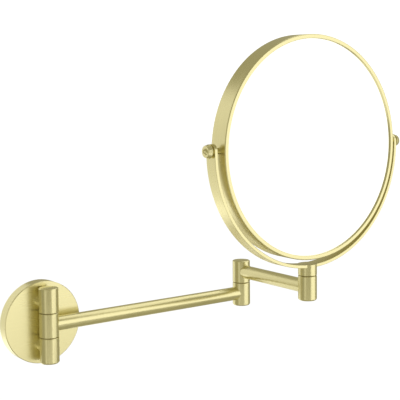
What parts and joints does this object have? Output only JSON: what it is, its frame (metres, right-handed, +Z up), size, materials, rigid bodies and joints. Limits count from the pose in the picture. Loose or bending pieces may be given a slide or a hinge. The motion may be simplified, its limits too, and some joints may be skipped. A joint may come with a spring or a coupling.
{
  "type": "extendable shaving mirror",
  "caption": "Round shaving mirror that flips in a half-ring yoke, on a folding wall arm with a round cover.",
  "frame": {"origin": "centre of the wall bracket's flat back face, on the wall", "axes": "+Z up; +Y into the wall, so the mirror faces -Y; +X along the inner arm, to the right for someone facing the wall"},
  "size_m": [0.3735, 0.131, 0.2929],
  "materials": {
    "brushed_brass": "fine brushed satin, pale gold",
    "steel": "zinc plated",
    "nylon": "moulded, matt",
    "plain_mirror": "plain silvered glass",
    "magnifying_mirror": "silvered concave glass",
    "spacer_plastic": "moulded, matt"
  },
  "bodies": {
    "wall_mount": {"wall_bracket": "steel", "wall_cover": "brushed_brass", "cover_grub_screw": "steel", "upper_stud": "brushed_brass", "lower_stud": "brushed_brass", "upper_stud_screw": "steel", "lower_stud_screw": "steel", "upper_wall_knuckle": "brushed_brass", "lower_wall_knuckle": "brushed_brass", "wall_hinge_pin": "steel", "wall_top_cap": "brushed_brass", "wall_end_plug": "brushed_brass", "upper_wall_washer": "nylon", "lower_wall_washer": "nylon"},
    "inner_arm": {"inner_arm_knuckle": "brushed_brass", "wall_hinge_bush": "nylon", "inner_arm_tube": "brushed_brass", "elbow_lower_knuckle": "brushed_brass", "elbow_pin": "steel", "elbow_washer": "nylon", "elbow_disc_spring": "steel", "elbow_lock_nut": "steel", "elbow_end_plug": "brushed_brass"},
    "outer_arm": {"elbow_upper_knuckle": "brushed_brass", "elbow_bush": "nylon", "elbow_top_cap": "brushed_brass", "outer_arm_tube": "brushed_brass", "end_knuckle": "brushed_brass", "end_bush": "nylon", "end_washer": "nylon", "end_plug": "brushed_brass"},
    "yoke": {"yoke_knuckle": "brushed_brass", "yoke_band": "brushed_brass", "end_bolt": "steel", "end_disc_spring": "steel"},
    "mirror_head": {"mirror_rim": "brushed_brass", "front_glass": "plain_mirror", "glass_spacer": "spacer_plastic", "magnifying_glass": "magnifying_mirror", "retaining_ring": "brushed_brass", "left_pivot_boss": "brushed_brass", "right_pivot_boss": "brushed_brass", "left_friction_washer": "brushed_brass", "right_friction_washer": "brushed_brass", "left_pivot_knob": "brushed_brass", "right_pivot_knob": "brushed_brass", "left_pivot_screw": "brushed_brass", "right_pivot_screw": "brushed_brass"}
  },
  "joints": [
    {"name": "wall_hinge", "type": "hinge", "parent": "wall_mount", "child": "inner_arm", "pos_m": [0, -0.022, 0], "axis": [0, 0, 1], "range_deg": [-180, 0]},
    {"name": "elbow_hinge", "type": "hinge", "parent": "inner_arm", "child": "outer_arm", "pos_m": [0.2175, -0.022, 0], "axis": [0, 0, 1], "continuous": true},
    {"name": "yoke_swivel", "type": "hinge", "parent": "outer_arm", "child": "yoke", "pos_m": [0.2175, -0.121, 0], "axis": [0, 0, 1], "continuous": true},
    {"name": "mirror_tilt", "type": "hinge", "parent": "yoke", "child": "mirror_head", "pos_m": [0.2175, -0.121, 0.1537], "axis": [1, 0, 0], "continuous": true}
  ]
}
